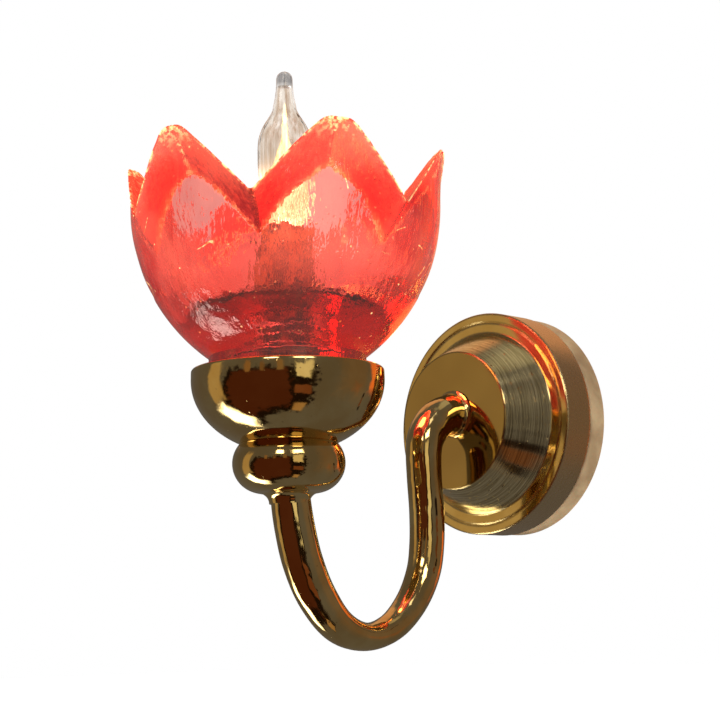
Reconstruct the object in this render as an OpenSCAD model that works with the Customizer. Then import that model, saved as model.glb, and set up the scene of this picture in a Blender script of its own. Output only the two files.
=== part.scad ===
// Sanctuary lamp: electric wall lamp with a swan-neck brass arm, a turned cup
// and a thick red glass shade cut into six pointed petals.
// Millimetres. +Z is up, the wall is the plane y = 0 and the lamp stands out along -Y.
// The origin is the middle of the back plate's wall face.

/* [Rose and back plate] */
// Radius of the brass rose's flange
rose_r = 56; // [54:0.5:60]
// Distance from the wall to the flange's front face
flange_y = 28.5; // [27:0.5:32]
// Distance from the wall to the boss's flat face
boss_y = 49.5; // [47:0.5:53]
// Radius of the boss's flat face
boss_r = 34; // [30:0.5:38]
// Radius of the boss where it meets the flange
boss_base_r = 46; // [44:0.5:49]
// Radius of the white back plate
plate_r = 55.5; // [55:0.1:58]
// Thickness of the white back plate
plate_t = 10; // [8:0.5:12]
// Distance between the two wall screw holes
wall_pitch = 60; // [56:1:64]
// Radius of the two wall screw holes
wall_hole_r = 2.3; // [2:0.1:3]
// Radius of the cable entry in the back plate
cable_r = 10; // [6:0.5:12]

/* [Arm] */
// Distance from the wall to the lamp's vertical axis
reach = 158.5; // [154:0.5:172]
// Outer radius of the arm's tube
arm_r = 8.7; // [8:0.1:9.4]
// Wall thickness of the arm's tube
arm_wall = 2; // [1.5:0.1:2.5]
// Height of the arm's root on the boss face
root_z = 2.5; // [0:0.5:5]
// Radius of the bend beside the boss
root_bend_r = 18.3; // [16:0.1:20]
// Height of the centre of the lower bend
low_bend_z = -64.3; // [-70:0.1:-60]
// Lean of the front leg, in degrees
lean = 15; // [12:1:18]

/* [Bead and cup] */
// Height of the cup's rim
rim_z = 15; // [13:0.5:18]
// Largest outer radius of the cup
cup_r = 43.9; // [42:0.1:46]
// Radius of the cup's mouth
mouth_r = 37.3; // [36.8:0.1:38]
// Height of the joint between cup and bead
joint_z = -18.5; // [-20:0.5:-17]
// Radius of the cup's foot, where it meets the bead
foot_r = 22.2; // [20:0.1:23]

/* [Glass shade] */
// Radius of the shade's neck
neck_r = 35.8; // [34:0.1:36.3]
// Height of the underside of the neck
neck_z = 4; // [3.8:0.1:5]
// Radius of the bore that passes the candle sleeve
bore_r = 16.5; // [16:0.1:18]
// Height of the glass floor
floor_z = 46; // [42:0.5:50]
// Height of the petals' blunt tips
tip_z = 113; // [110:0.1:116]
// Outer radius at the petal tips
tip_r = 73.9; // [72:0.1:76]
// Height of the notches between the petals, on the outside
notch_z = 82; // [78:0.5:86]
// Rise of a cut edge beside a notch, per millimetre across
edge_rise = 1.16; // [1.1:0.01:1.25]
// Inner radius of the glass at its widest
inner_r = 55; // [53:0.5:58]
// Number of petals
petals = 6; // [5:1:7]
// Turn of the shade in its cup, in degrees
shade_turn = 6.5; // [-30:0.5:30]

/* [Candle sleeve and lampholder] */
// Outer radius of the candle sleeve
sleeve_r = 14.6; // [14:0.1:15]
// Height of the top of the candle sleeve
sleeve_top = 81; // [78:0.5:84]
// Wall thickness of the candle sleeve
sleeve_wall = 1.5; // [1:0.1:1.8]

/* [Bulb] */
// Height of the bulb's tip
bulb_tip_z = 155.8; // [150:0.1:160]
// Largest radius of the bulb
bulb_r = 12.8; // [12.2:0.1:13]
// Radius over the thread of the bulb's screw cap
cap_r = 5.85; // [5.8:0.05:5.9]

/* [Hidden] */
$fn = 96;
fit = 0.05;
gap = 0.3;
wire_r = 1.1;
wire_x = 2.4;

// Rose
rose_wall = 3.5;
face_t = 4;
ring_r = 51.2;
ring_w = 0.5;
plate_edge = 1.2;
chamfer = 1.5;
strap_t = 2;
strap_w = 22;
strap_half = 46.5;
tab_y = plate_t + 12;
grub_y = plate_t + 8;
grub_r = 2;
lug_r = 1.8;
strap_screw_z = 20;
earth_x = 7.5;
earth_z = 13;
block_x = 28;
block_w = 28;
block_h = 18;
block_t = 12;
pole_pitch = 9;
pole_y = plate_t + 6;

// Arm centreline in the plane x = 0, as a depth in front of the wall and a height
stub = 3;
leg_y = boss_y + stub + root_bend_r;
leg_top = root_z - root_bend_r;
top_bend_r = 70;
top_bend_z = -34;
front_y = reach - top_bend_r * (1 - cos(lean));
front_z = top_bend_z - top_bend_r * sin(lean);
// The lower bend and the leaning straight are solved so that they meet the top bend.
// leg_y + R (1 + cos(lean)) + s sin(lean) = front_y,  low_bend_z - R sin(lean) + s cos(lean) = front_z
span_y = front_y - leg_y;
span_z = front_z - low_bend_z;
low_bend_fit = (span_y - span_z * tan(lean)) / (1 + cos(lean) + sin(lean) * tan(lean));
low_bend_r = round(low_bend_fit * 1000) / 1000;
lean_len = (span_z + low_bend_r * sin(lean)) / cos(lean);
bore_arm = arm_r - arm_wall;
root_flare_r = 12.2;
root_flare_l = 9;
plug_l = 5.5;

// Nipples and nuts, M10 x 1
nip_r = 4.95;
nip_bore = 3.9;
nut_r = 8.2;
nut_t = 4;
nip_deep = 8;

// Bead
bead_z = -27.5;
bead_c = 12.1;
bead_ball = 13.4;
bead_fillet = 5;
bead_foot_r = 9.1;
fillet_r = bead_foot_r + bead_fillet;
fillet_z = bead_z - sqrt(pow(bead_ball + bead_fillet, 2) - pow(fillet_r - bead_c, 2));

// Cup
cup_mid = 10;
cup_drop = (cup_mid - joint_z) / sqrt(1 - pow(foot_r / cup_r, 2));
seat_z = 2.5;
felt_t = 1.5;
well_r = 25;
well_z = -9;
washer_r = 15;

// Shade
bowl_z = 90.5;
bowl_c = -15;
bowl_r = 86.5;
neck_top = 19;
inner_c = inner_r - 70;
ring_pitch = 4.5;
ring_deep = 0.8;
notch_r = 71;
notch_slope = 35.5;
petal_half = 180 / petals;
notch_round = 2.5;

// Lampholder and bulb
shell_r = 6.15;
shell_top = 74;
shell_bottom = 58.5;
holder_r = 9;
holder_z = 44;
cap_bottom = 61.5;
cap_top = 77.4;
glass_z = 77;
glass_neck_r = 5.6;
glass_foot = 2.6;
glass_t = 0.7;
thread_pitch = 2.54;

// A turned shape whose axis is the wall's normal: profile x is the radius, y the distance out
module turned_out() {
    rotate([90, 0, 0]) rotate_extrude() children();
}

// A turned shape on the lamp's vertical axis
module turned_up() {
    translate([0, -reach, 0]) rotate_extrude() children();
}

// A cylinder along the wall's normal from depth a to depth b
module rod_out(x, z, r, a, b) {
    translate([x, -a, z]) rotate([90, 0, 0]) cylinder(h = b - a, r = r);
}

// An upright cylinder on the lamp's axis from height a to height b
module post(r, a, b) {
    translate([0, -reach, a]) cylinder(h = b - a, r = r);
}

// A hexagon nut across its corners, on the lamp's axis
module hex_up(r, a, b) {
    translate([0, -reach, a]) cylinder(h = b - a, r = r, $fn = 6);
}

// A bend of round bar in a plane of constant x, centred at depth d and height h
module bend(x, d, h, bend_r, from, to, r) {
    translate([x, -d, h]) rotate([90, 0, 90]) rotate([0, 0, from])
        rotate_extrude(angle = to - from) translate([bend_r, 0]) circle(r);
}

// The arm's centreline swept with a round bar of radius r, beside the middle plane by x.
// The lower bend's front end carries the leaning straight and the top bend. A ball of nearly
// the same radius joins the pieces where bends and straights meet.
module arm_run(x, r) {
    rod_out(x, root_z, r, boss_y, boss_y + stub);
    bend(x, boss_y + stub, leg_top, root_bend_r, 90, 180, r);
    translate([x, -leg_y, low_bend_z]) cylinder(h = leg_top - low_bend_z, r = r);
    translate([x, -leg_y, low_bend_z]) sphere(r + fit);
    translate([x, -leg_y - low_bend_r, low_bend_z]) rotate([90, 0, 90]) rotate([0, 0, 180 + lean]) {
        rotate_extrude(angle = 180 - lean) translate([low_bend_r, 0]) circle(r);
        translate([low_bend_r, 0, 0]) rotate([90, 0, 0]) cylinder(h = lean_len, r = r);
        translate([low_bend_r, -lean_len, 0]) sphere(r + fit);
        translate([low_bend_r - top_bend_r, -lean_len, 0]) rotate([0, 0, -lean])
            rotate_extrude(angle = lean) translate([top_bend_r, 0]) circle(r);
    }
}

module back_plate() {
    color([0.86, 0.85, 0.82]) difference() {
        turned_out() {
            difference() {
                union() {
                    square([plate_r, plate_t - plate_edge]);
                    square([plate_r - plate_edge, plate_t]);
                    translate([plate_r - plate_edge, plate_t - plate_edge]) circle(plate_edge);
                }
                translate([0, -plate_t]) square([plate_r, plate_t]);
            }
        }
        rod_out(0, 0, cable_r, -1, plate_t + 1);
        for (s = [-1, 1]) {
            rod_out(0, s * wall_pitch / 2, wall_hole_r, -1, plate_t + 1);
            rod_out(0, s * strap_screw_z, 1.2, 2, plate_t + 1);
        }
        rod_out(block_x - pole_pitch / 2, 0, 1.2, 3, plate_t + 1);
    }
}

// Steel strap with two turned-out tabs that carry the rose
module strap() {
    color([0.66, 0.66, 0.68]) difference() {
        union() {
            translate([-strap_w / 2, -plate_t - strap_t, -strap_half])
                cube([strap_w, strap_t, 2 * strap_half]);
            for (s = [-1, 1]) {
                translate([-strap_w / 2, -tab_y, s * (strap_half - strap_t / 2) - strap_t / 2])
                    cube([strap_w, tab_y - plate_t, strap_t]);
            }
            translate([0, -grub_y, strap_half - strap_t - 2]) cylinder(h = 3, r = 4.5);
            translate([0, -grub_y, -rose_r + rose_wall - 1.7])
                cylinder(h = rose_r - rose_wall + 1.7 - strap_half + 1, r = lug_r);
        }
        rod_out(0, 0, cable_r - 1, plate_t - 1, tab_y);
        for (s = [-1, 1]) {
            rod_out(0, s * wall_pitch / 2, wall_hole_r, plate_t - 1, plate_t + strap_t + 1);
            rod_out(0, s * strap_screw_z, 1.6, plate_t - 1, plate_t + strap_t + 1);
        }
        rod_out(earth_x, earth_z, 1.6, plate_t - 1, plate_t + strap_t + 1);
        translate([0, -grub_y, strap_half - 6]) cylinder(h = 10, r = grub_r + fit);
    }
}

// Small screws that hold the strap and the terminal block to the back plate
module plate_screws() {
    color([0.72, 0.72, 0.74]) {
        for (s = [-1, 1]) difference() {
            union() {
                rod_out(0, s * strap_screw_z, 1.15, 3, plate_t + strap_t);
                rod_out(0, s * strap_screw_z, 2.8, plate_t + strap_t, plate_t + strap_t + 1.6);
            }
            slot_out(0, s * strap_screw_z, 4, 0.8, plate_t + strap_t + 0.8);
        }
        difference() {
            union() {
                rod_out(block_x - pole_pitch / 2, 0, 1.15, 4, plate_t + block_t - 1.5);
                rod_out(block_x - pole_pitch / 2, 0, 1.7, plate_t + block_t - 1.5, plate_t + block_t);
            }
            slot_out(block_x - pole_pitch / 2, 0, 3, 0.6, plate_t + block_t - 0.7);
        }
    }
}

// A screwdriver slot cut from depth a outwards
module slot_out(x, z, length, width, a) {
    translate([x - length, -a - 4, z - width / 2]) cube([2 * length, 4, width]);
}

// Three-pole terminal block on the back plate, beside the strap
module terminal_block() {
    color([0.93, 0.92, 0.88]) difference() {
        translate([block_x - block_w / 2, -plate_t - block_t, -block_h / 2])
            cube([block_w, block_t, block_h]);
        for (k = [-1, 0, 1]) {
            translate([block_x + k * pole_pitch, -pole_y, -block_h / 2 - 1])
                cylinder(h = block_h + 2, r = 2.5);
            for (s = [-1, 1]) {
                rod_out(block_x + k * pole_pitch, s * 5, 1.9, pole_y, plate_t + block_t + 1);
            }
        }
        rod_out(block_x - pole_pitch / 2, 0, 1.3, plate_t - 1, plate_t + block_t + 1);
        rod_out(block_x - pole_pitch / 2, 0, 1.8, plate_t + block_t - 1.6, plate_t + block_t + 1);
    }
}

module terminal_screws() {
    color([0.80, 0.66, 0.36]) for (k = [-1, 0, 1], s = [-1, 1]) difference() {
        rod_out(block_x + k * pole_pitch, s * 5, 1.8, pole_y + wire_r + 0.2, plate_t + block_t - 0.6);
        slot_out(block_x + k * pole_pitch, s * 5, 2, 0.6, plate_t + block_t - 1.4);
    }
}

module earth_screw() {
    color([0.80, 0.66, 0.36]) difference() {
        union() {
            rod_out(earth_x, earth_z, 1.55, plate_t + 0.4, plate_t + strap_t + 3);
            rod_out(earth_x, earth_z, 3, plate_t + strap_t + 2.6, plate_t + strap_t + 4.6);
        }
        slot_out(earth_x, earth_z, 4, 0.8, plate_t + strap_t + 3.8);
    }
}

// Ring under the earth screw, then the insulated lead to the middle terminal
module earth_wire() {
    lead_y = plate_t + strap_t + wire_r + 0.2;
    color([0.35, 0.62, 0.22]) union() {
        difference() {
            rod_out(earth_x, earth_z, 2.9, lead_y - wire_r, lead_y + wire_r);
            rod_out(earth_x, earth_z, 1.65, plate_t, plate_t + strap_t + 6);
        }
        translate([earth_x + 2.2, -lead_y, earth_z]) rotate([0, 90, 0])
            cylinder(h = block_x - earth_x - 2.2, r = wire_r);
        translate([block_x, -lead_y, earth_z]) sphere(wire_r);
        rod_out(block_x, earth_z, wire_r, lead_y, pole_y);
        translate([block_x, -pole_y, earth_z]) sphere(wire_r);
        translate([block_x, -pole_y, 2]) cylinder(h = earth_z - 2, r = wire_r);
    }
}

// Spun brass rose: flange, conical boss and polished face
module rose() {
    inner = plate_t + fit;
    color([0.72, 0.56, 0.27]) difference() {
        turned_out() {
            difference() {
                polygon([
                    [0, inner],
                    [rose_r - chamfer, inner],
                    [rose_r - chamfer, inner + 0.6],
                    [rose_r, inner + chamfer],
                    [rose_r, flange_y - 0.6],
                    [rose_r - 0.6, flange_y],
                    [boss_base_r, flange_y],
                    [boss_r + 0.7, boss_y - 0.9],
                    [boss_r + 0.2, boss_y],
                    [0, boss_y]
                ]);
                polygon([
                    [-1, inner - 1],
                    [rose_r - rose_wall, inner - 1],
                    [rose_r - rose_wall, flange_y - rose_wall],
                    [boss_base_r - 2, flange_y - rose_wall],
                    [boss_r - 2.4, boss_y - face_t],
                    [-1, boss_y - face_t]
                ]);
                translate([ring_r, flange_y]) circle(ring_w);
            }
        }
        rod_out(0, root_z, nip_r + fit, boss_y - face_t - 1, boss_y + 1);
        translate([0, -grub_y, rose_r - 6]) cylinder(h = 8, r = grub_r + gap);
        translate([0, -grub_y, -rose_r + 1.6]) cylinder(h = 4, r = lug_r + gap);
    }
}

// Headless screw that locks the rose to the strap's upper tab
module grub_screw() {
    color([0.55, 0.45, 0.25]) difference() {
        translate([0, -grub_y, strap_half - 3]) cylinder(h = rose_r - strap_half + 2.4, r = grub_r);
        translate([0, -grub_y, rose_r - 2.6]) cylinder(h = 3, r = 1.15, $fn = 6);
    }
}

// Swan-neck arm of brass tube, flared at its root, where a plug with an M10 hole is brazed in
module arm() {
    color([0.72, 0.56, 0.27]) difference() {
        union() {
            arm_run(0, arm_r);
            turned_out_at_root() difference() {
                translate([0, boss_y]) square([root_flare_r, root_flare_l]);
                translate([arm_r + root_flare_l, boss_y + root_flare_l])
                    circle(root_flare_l + 0.001);
            }
        }
        difference() {
            arm_run(0, bore_arm);
            rod_out(0, root_z, bore_arm + 0.5, boss_y - 1, boss_y + plug_l);
        }
        rod_out(0, root_z, nip_r + fit, boss_y - 1, boss_y + plug_l + 2);
    }
}

// A turned shape about the arm's root axis
module turned_out_at_root() {
    translate([0, 0, root_z]) turned_out() children();
}

// Threaded hollow nipple through the boss face
module arm_nipple() {
    color([0.78, 0.64, 0.34]) difference() {
        rod_out(0, root_z, nip_r, boss_y - 14, boss_y + 5);
        rod_out(0, root_z, nip_bore, boss_y - 15, boss_y + 6);
        for (k = [0 : 6]) {
            translate([0, -boss_y + 6.4 + k, root_z]) rotate([90, 0, 0])
                rotate_extrude() translate([nip_r + 0.1, 0]) circle(0.35);
        }
    }
}

module arm_washer() {
    color([0.66, 0.66, 0.68]) difference() {
        rod_out(0, root_z, 10, boss_y - face_t - 1.2, boss_y - face_t);
        rod_out(0, root_z, nip_r + 0.2, boss_y - face_t - 2, boss_y);
    }
}

module arm_nut() {
    color([0.78, 0.64, 0.34]) difference() {
        translate([0, -(boss_y - face_t - 1.2 - nut_t), root_z]) rotate([90, 0, 0])
            cylinder(h = nut_t, r = nut_r, $fn = 6);
        rod_out(0, root_z, nip_r + fit, boss_y - face_t - 8, boss_y);
    }
}

// Turned bead brazed on the arm's end, with a concave foot that runs into the tube
module bead() {
    color([0.72, 0.56, 0.27]) difference() {
        turned_up() {
            difference() {
                union() {
                    translate([bead_c, bead_z]) circle(bead_ball);
                    translate([0, bead_z - bead_ball]) square([bead_c, bead_ball * 2]);
                    translate([0, fillet_z]) square([fillet_r, bead_z - fillet_z]);
                }
                translate([fillet_r, fillet_z]) circle(bead_fillet);
                translate([fillet_r - 0.1, fillet_z - 1])
                    square([20, bead_z - bead_ball - fillet_z + 1.6]);
                translate([-1, joint_z]) square([40, 20]);
                translate([-30, -60]) square([30, 60]);
            }
        }
        arm_run(0, arm_r + fit);
        post(bore_arm, top_bend_z - 1, joint_z - nip_deep);
        post(nip_r + fit, joint_z - nip_deep - 1, joint_z + 1);
    }
}

// Brass cup, turned as half an ellipse with a broad flat rim
module cup() {
    steps = 22;
    lowest = asin((cup_mid - joint_z) / cup_drop);
    color([0.72, 0.56, 0.27]) difference() {
        turned_up() {
            polygon(concat(
                [[0, joint_z]],
                [for (i = [0 : steps]) let (t = -lowest + i * lowest / steps)
                    [cup_r * cos(t), cup_mid + cup_drop * sin(t)]],
                [[cup_r - 0.3, rim_z - 0.6], [cup_r - 0.8, rim_z], [mouth_r + 0.5, rim_z],
                 [mouth_r, rim_z - 0.5], [mouth_r, seat_z], [well_r, seat_z], [well_r - 4, well_z],
                 [0, well_z]]
            ));
        }
        post(nip_r + fit, joint_z - 1, well_z + 1);
    }
}

// Threaded hollow nipple that clamps bead, cup and lampholder stem together
module cup_nipple() {
    color([0.78, 0.64, 0.34]) difference() {
        post(nip_r, joint_z - nip_deep, 3);
        post(nip_bore, joint_z - nip_deep - 1, 4);
        for (k = [0 : 3]) {
            translate([0, -reach, -0.5 + k]) rotate_extrude() translate([nip_r + 0.1, 0]) circle(0.35);
        }
    }
}

module cup_washer() {
    color([0.66, 0.66, 0.68]) difference() {
        post(washer_r, well_z, well_z + 1.2);
        post(nip_r + 0.2, well_z - 1, well_z + 2);
    }
}

module cup_nut() {
    color([0.78, 0.64, 0.34]) difference() {
        hex_up(nut_r, well_z + 1.2, well_z + 1.2 + nut_t);
        post(nip_r + fit, well_z, well_z + 8);
    }
}

module felt_ring() {
    color([0.30, 0.17, 0.12]) difference() {
        post(mouth_r - 1.2, seat_z, seat_z + felt_t);
        post(well_r + 1, seat_z - 1, seat_z + felt_t + 1);
    }
}

// Steel tube stem that carries the lampholder above the cup
module holder_stem() {
    color([0.66, 0.66, 0.68]) difference() {
        union() {
            post(7, -2.5, 6);
            post(6, 6, holder_z + 4);
        }
        post(nip_r + fit, -4, 3.2);
        post(3.8, 3, holder_z + 5);
    }
}

// Moulded lampholder body with a cupped head for the screw shell
module holder_body() {
    color([0.90, 0.88, 0.82]) difference() {
        union() {
            post(holder_r, holder_z, shell_top);
            post(sleeve_r - sleeve_wall - 0.2, holder_z + 6, holder_z + 9);
            post(sleeve_r - sleeve_wall - 0.2, shell_top - 6, shell_top - 3);
        }
        post(shell_r + 0.5, shell_bottom, shell_top + 1);
        post(6 + fit, holder_z - 1, holder_z + 4);
        for (s = [-1, 1]) {
            translate([s * wire_x, -reach, holder_z]) cylinder(h = 20, r = wire_r + 0.15);
        }
    }
}

// Brass screw shell with rolled thread rings, closed at the bottom round the contact
module screw_shell() {
    color([0.80, 0.66, 0.36]) difference() {
        post(shell_r + 0.45, shell_bottom + 0.2, shell_top - 1);
        post(shell_r, shell_bottom + 0.7, shell_top);
        post(3.6, shell_bottom - 1, shell_bottom + 2);
        for (k = [0 : 3]) {
            translate([0, -reach, 62.5 + k * thread_pitch]) rotate_extrude()
                translate([shell_r, 0]) circle(0.25);
        }
    }
}

// Sprung brass tongue under the bulb's centre contact
module contact_spring() {
    color([0.80, 0.66, 0.36]) union() {
        post(2.6, shell_bottom + 0.2, shell_bottom + 0.8);
        translate([-1, -reach - 2, shell_bottom + 0.8]) cube([2, 4, 0.4]);
        post(1.2, shell_bottom + 1.2, cap_bottom - 1.3);
    }
}

// Brown candle sleeve pushed over the lampholder
module candle_sleeve() {
    color([0.52, 0.27, 0.12]) difference() {
        post(sleeve_r, well_z + 1.2, sleeve_top);
        post(sleeve_r - sleeve_wall, well_z, sleeve_top + 1);
    }
}

// One insulated core from the terminal block, through the whole arm, to the lampholder.
// It leaves the nipple at depth turn_y + drop, falls at depth turn_y to height low_z and
// crosses to the block's pole at to_x.
module core(side, turn_y, low_z, to_x) {
    x = side * wire_x;
    drop = 6;
    union() {
        arm_run(x, wire_r);
        rod_out(x, root_z, wire_r, turn_y + drop, boss_y);
        bend(x, turn_y + drop, root_z - drop, drop, 0, 90, wire_r);
        translate([x, -turn_y, low_z]) cylinder(h = root_z - drop - low_z, r = wire_r);
        translate([x, -turn_y, low_z]) sphere(wire_r);
        translate([x, -turn_y, low_z]) rotate([0, 90, 0]) cylinder(h = to_x - x, r = wire_r);
        translate([to_x, -turn_y, low_z]) sphere(wire_r);
        rod_out(to_x, low_z, wire_r, pole_y, turn_y);
        translate([to_x, -pole_y, low_z]) sphere(wire_r);
        translate([to_x, -pole_y, low_z]) cylinder(h = -2 - low_z, r = wire_r);
        translate([x, -reach, top_bend_z]) sphere(wire_r + fit);
        translate([x, -reach, top_bend_z]) cylinder(h = shell_bottom - top_bend_z, r = wire_r);
    }
}

module live_wire() {
    color([0.45, 0.26, 0.14]) core(1, 25, -19, block_x + pole_pitch);
}

module neutral_wire() {
    color([0.20, 0.35, 0.62]) core(-1, 21, -15, block_x - pole_pitch);
}

// One V-shaped cut between two petals, its edge falling towards the middle of the shade
module notch_cut() {
    rise = edge_rise * cos(notch_slope);
    side = atan(rise);
    wide = 60;
    lift = notch_round / cos(side) - notch_round;
    translate([0, notch_r, notch_z]) rotate([notch_slope, 0, 0]) rotate([90, 0, 0])
        translate([0, -lift, -30]) linear_extrude(height = 75)
            polygon(concat(
                [[-wide, wide * rise], [-wide, 120], [wide, 120], [wide, wide * rise]],
                [for (i = [0 : 6]) let (t = -90 + side - i * side / 3)
                    [notch_round * cos(t), notch_round / cos(side) + notch_round * sin(t)]]
            ));
}

// Thick red glass: ringed bore in a solid base, round bowl, six cut petals
module shade() {
    steps = 16;
    low = neck_top + 1.5;
    t_low = asin((low - bowl_z) / bowl_r);
    t_floor = asin((floor_z + 5 - bowl_z) / 70);
    color([0.85, 0.16, 0.13, 0.6]) difference() {
        translate([0, -reach, 0]) rotate([0, 0, shade_turn]) difference() {
            rotate_extrude() polygon(concat(
                [[bore_r, neck_z + 0.6], [bore_r + 0.6, neck_z], [neck_r - 0.8, neck_z],
                 [neck_r, neck_z + 0.8], [neck_r, neck_top]],
                [for (i = [0 : steps]) let (t = t_low * (1 - i / steps))
                    [bowl_c + bowl_r * cos(t), bowl_z + bowl_r * sin(t)]],
                [[tip_r, tip_z], [inner_r + 1, tip_z]],
                [for (i = [0 : steps]) let (t = t_floor * i / steps)
                    [inner_c + 70 * cos(t), bowl_z + 70 * sin(t)]],
                [[inner_c + 70 * cos(t_floor) - 3.5, floor_z + 1.4],
                 [inner_c + 70 * cos(t_floor) - 8, floor_z],
                 [bore_r + 1.5, floor_z], [bore_r, floor_z - 1.5]]
            ));
            for (k = [0 : petals - 1]) {
                rotate([0, 0, k * 360 / petals + petal_half]) notch_cut();
            }
            for (k = [0 : 5]) {
                translate([0, 0, 17 + k * ring_pitch]) rotate_extrude()
                    translate([bore_r, 0]) circle(ring_deep);
            }
        }
    }
}

// Outline of the flame-tip bulb: radius at height z
function bulb_at(z) =
    let (wide_z = 113, shoulder = 139, neck_end = bulb_tip_z - 3.8)
    z < glass_z ? glass_neck_r :
    z < wide_z ? glass_neck_r + (bulb_r - glass_neck_r) * sin(90 * (z - glass_z) / (wide_z - glass_z)) :
    z < shoulder ? 5.4 + (bulb_r - 5.4)
        * (1 + cos(180 * pow((z - wide_z) / (shoulder - wide_z), 1.9))) / 2 :
    z < neck_end ? 3.8 + 1.6 * pow((neck_end - z) / (neck_end - shoulder), 2) :
    3.8 * sqrt(max(0, 1 - pow((z - neck_end) / 3.8, 2)));

module bulb_glass() {
    steps = 44;
    top = bulb_tip_z;
    inner_top = bulb_tip_z - 6;
    color([0.95, 0.92, 0.85, 0.3]) turned_up() {
        polygon(concat(
            [[glass_neck_r, glass_z - glass_foot]],
            [for (i = [0 : steps]) let (z = glass_z + (top - glass_z) * i / steps)
                [bulb_at(z), z]],
            [for (i = [0 : steps - 4]) let (z = inner_top - (inner_top - glass_z) * i / (steps - 4))
                [max(0, bulb_at(z) - glass_t - (i == 0 ? 9 : 0)), z]],
            [[glass_neck_r - glass_t, glass_z - glass_foot]]
        ));
    }
}

// Screw cap of the bulb, with rolled thread rings
module bulb_cap() {
    color([0.78, 0.74, 0.62]) difference() {
        union() {
            post(cap_r, cap_bottom + 1.6, cap_top - 4);
            post(glass_neck_r + 0.7, cap_top - 4, cap_top);
            translate([0, -reach, cap_bottom]) cylinder(h = 1.6, r1 = 3.6, r2 = cap_r - 0.4);
        }
        post(cap_r - 0.9, cap_bottom + 2, cap_top - 3.9);
        post(glass_neck_r + 0.15, cap_top - 4, cap_top + 1);
        post(3.1, cap_bottom - 1, cap_bottom + 3);
        for (k = [0 : 3]) {
            translate([0, -reach, cap_bottom + 3.2 + k * thread_pitch]) rotate_extrude()
                translate([cap_r + 0.5, 0]) circle(0.9);
        }
    }
}

module bulb_insulator() {
    color([0.10, 0.08, 0.09]) difference() {
        translate([0, -reach, cap_bottom - 0.7]) cylinder(h = 0.7, r1 = 2.2, r2 = 3.1);
        post(1.5, cap_bottom - 1, cap_bottom + 1);
    }
}

// Centre contact: stays on the axis and only rises and falls as the bulb is turned
module bulb_contact() {
    color([0.70, 0.70, 0.68]) union() {
        post(1.4, cap_bottom - 0.9, cap_bottom + 0.6);
        post(2, cap_bottom - 1.2, cap_bottom - 0.9);
    }
}

// Glass stem with its lead wires and the two upper supports
module bulb_stem() {
    color([0.85, 0.85, 0.82, 0.5]) union() {
        post(glass_neck_r - glass_t - 0.2, glass_z + 0.3, glass_z + 3);
        post(2.2, glass_z + 3, 98);
        for (s = [-1, 1]) {
            translate([s * 1.2, -reach, 97]) rotate([0, s * 20, 0]) cylinder(h = 9, r = 0.3);
            translate([s * 4.2, -reach, 105.2]) cylinder(h = 14, r = 0.3);
        }
    }
}

// Tall looped filament
module filament() {
    color([1.0, 0.75, 0.30]) union() {
        for (s = [-1, 1]) {
            translate([s * 3.2, -reach, 106]) cylinder(h = 22, r = 0.35);
            translate([s * 3.53, -reach, 106.3]) rotate([0, 90, 0])
                cylinder(h = 0.7, r = 0.3, center = true);
        }
        translate([0, -reach, 128]) rotate([90, 0, 0]) rotate_extrude(angle = 180)
            translate([3.2, 0]) circle(0.35);
    }
}

back_plate();
strap();
plate_screws();
terminal_block();
terminal_screws();
earth_screw();
earth_wire();
rose();
grub_screw();
arm();
arm_nipple();
arm_washer();
arm_nut();
bead();
cup();
cup_nipple();
cup_washer();
cup_nut();
felt_ring();
holder_stem();
holder_body();
screw_shell();
contact_spring();
candle_sleeve();
live_wire();
neutral_wire();
shade();
bulb_glass();
bulb_cap();
bulb_insulator();
bulb_contact();
bulb_stem();
filament();
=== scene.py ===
"""Sanctuary lamp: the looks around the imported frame. Metres, +Z up, the wall at y = 0."""
import math

import bmesh
import bpy
from mathutils import Matrix, Vector, noise


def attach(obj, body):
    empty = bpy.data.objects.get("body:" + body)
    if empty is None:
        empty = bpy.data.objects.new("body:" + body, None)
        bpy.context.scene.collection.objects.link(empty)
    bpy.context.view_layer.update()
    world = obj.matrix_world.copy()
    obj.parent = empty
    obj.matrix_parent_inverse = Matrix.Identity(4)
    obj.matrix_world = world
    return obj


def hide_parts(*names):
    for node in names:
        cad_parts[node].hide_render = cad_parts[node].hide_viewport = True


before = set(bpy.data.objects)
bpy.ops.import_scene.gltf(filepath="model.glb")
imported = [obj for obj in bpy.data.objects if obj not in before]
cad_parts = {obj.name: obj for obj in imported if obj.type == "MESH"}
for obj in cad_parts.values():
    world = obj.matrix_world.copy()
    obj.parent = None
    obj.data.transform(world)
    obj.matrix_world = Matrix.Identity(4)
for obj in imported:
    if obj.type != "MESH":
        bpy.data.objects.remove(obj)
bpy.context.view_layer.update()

MM = 0.001

# ---------------------------------------------------------------- sizes
# Millimetres and radians. Most of them are the frame's own.
REACH = 158.5
ROSE_R = 56.0
FLANGE_Y = 28.5
BOSS_Y = 49.5
CUP_R = 43.9
CUP_MID = 10.0
CUP_RIM = 15.0
MOUTH_R = 37.3
JOINT_Z = -18.5
FOOT_R = 22.2
SEAT_Z = 2.5
WELL_R = 25.0
WELL_Z = -9.0
BOLT_R = 5.0
NECK_R = 35.8
NECK_Z = 4.0
NECK_TOP = 20.5
BORE_R = 16.5
FLOOR_Z = 46.0
BOWL_Z = 90.5
BOWL_C = -15.0
OUTER_ARC = 86.5
INNER_ARC = 70.0
OUTER_FLARE = 2.4
INNER_FLARE = 1.0
TIP_Z = 113.0
NOTCH_Z = 82.0
NOTCH_R = 71.0
NOTCH_SLOPE = math.radians(35.5)
EDGE_RISE = 1.12
NOTCH_ROUND = 2.5
PETALS = 6
SHADE_TURN = math.radians(6.5)
TIP_HEIGHTS = (112.3, 112.9, 112.2, 112.7, 113.6, 112.6)
GROOVES = 6
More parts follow.
